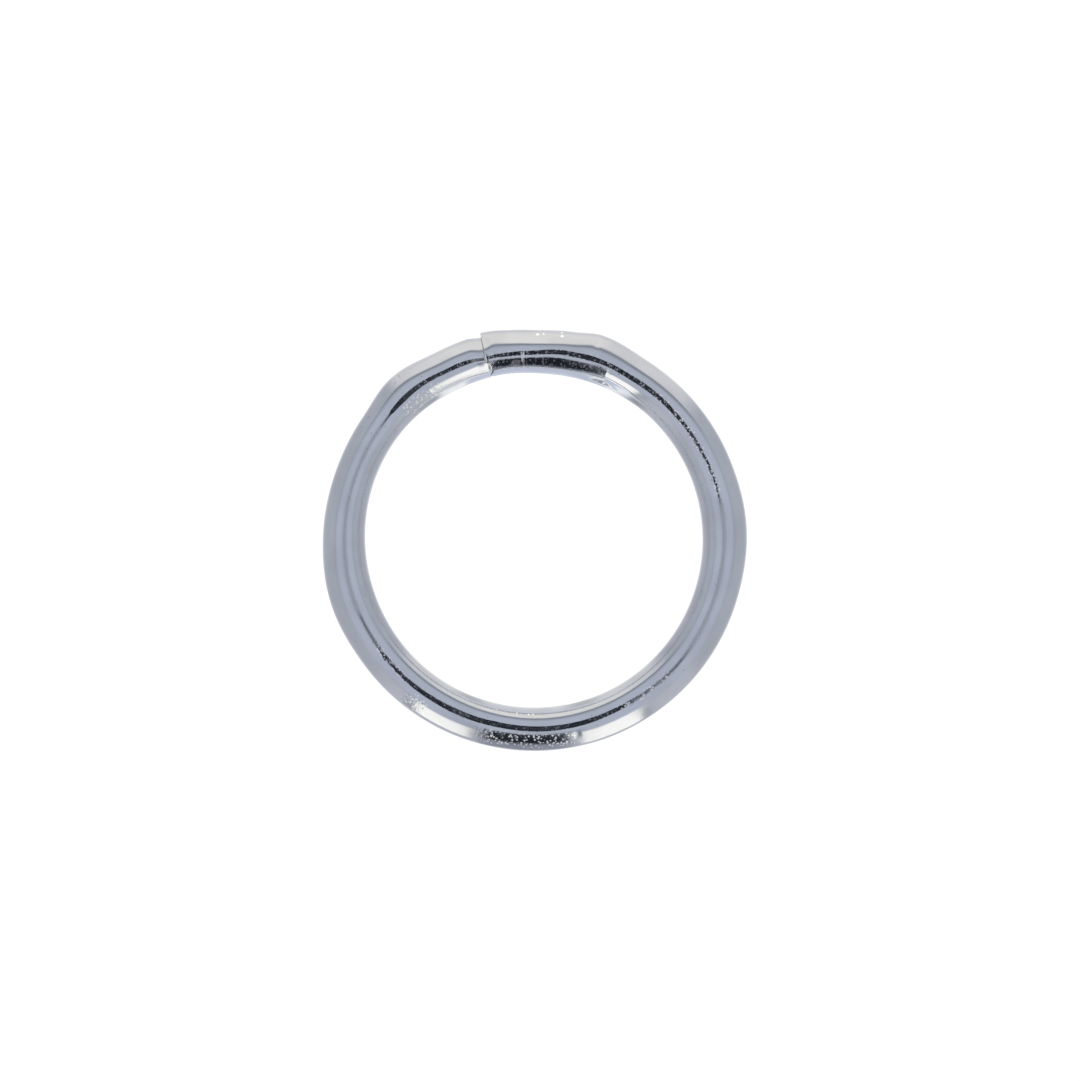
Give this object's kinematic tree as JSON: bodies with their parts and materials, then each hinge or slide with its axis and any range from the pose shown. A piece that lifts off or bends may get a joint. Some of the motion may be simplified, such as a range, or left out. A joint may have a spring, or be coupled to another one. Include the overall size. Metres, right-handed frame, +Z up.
{
  "type": "jump ring",
  "caption": "Closed jump ring of round silver-coloured wire, with its cut ends pressed together, for linking jewellery and other small things.",
  "frame": {"origin": "centre of the eye, on the plane that the ring rests on", "axes": "+Z up along the eye's axis; seen from above, the seam between the wire's ends lies 15 degrees to the left of +Y"},
  "size_m": [0.01, 0.0099, 0.001],
  "materials": {
    "bright_wire": "polished silver-coloured wire with fine handling scratches and plier marks"
  },
  "bodies": {
    "root": {"wire_ring": "bright_wire"}
  },
  "joints": []
}
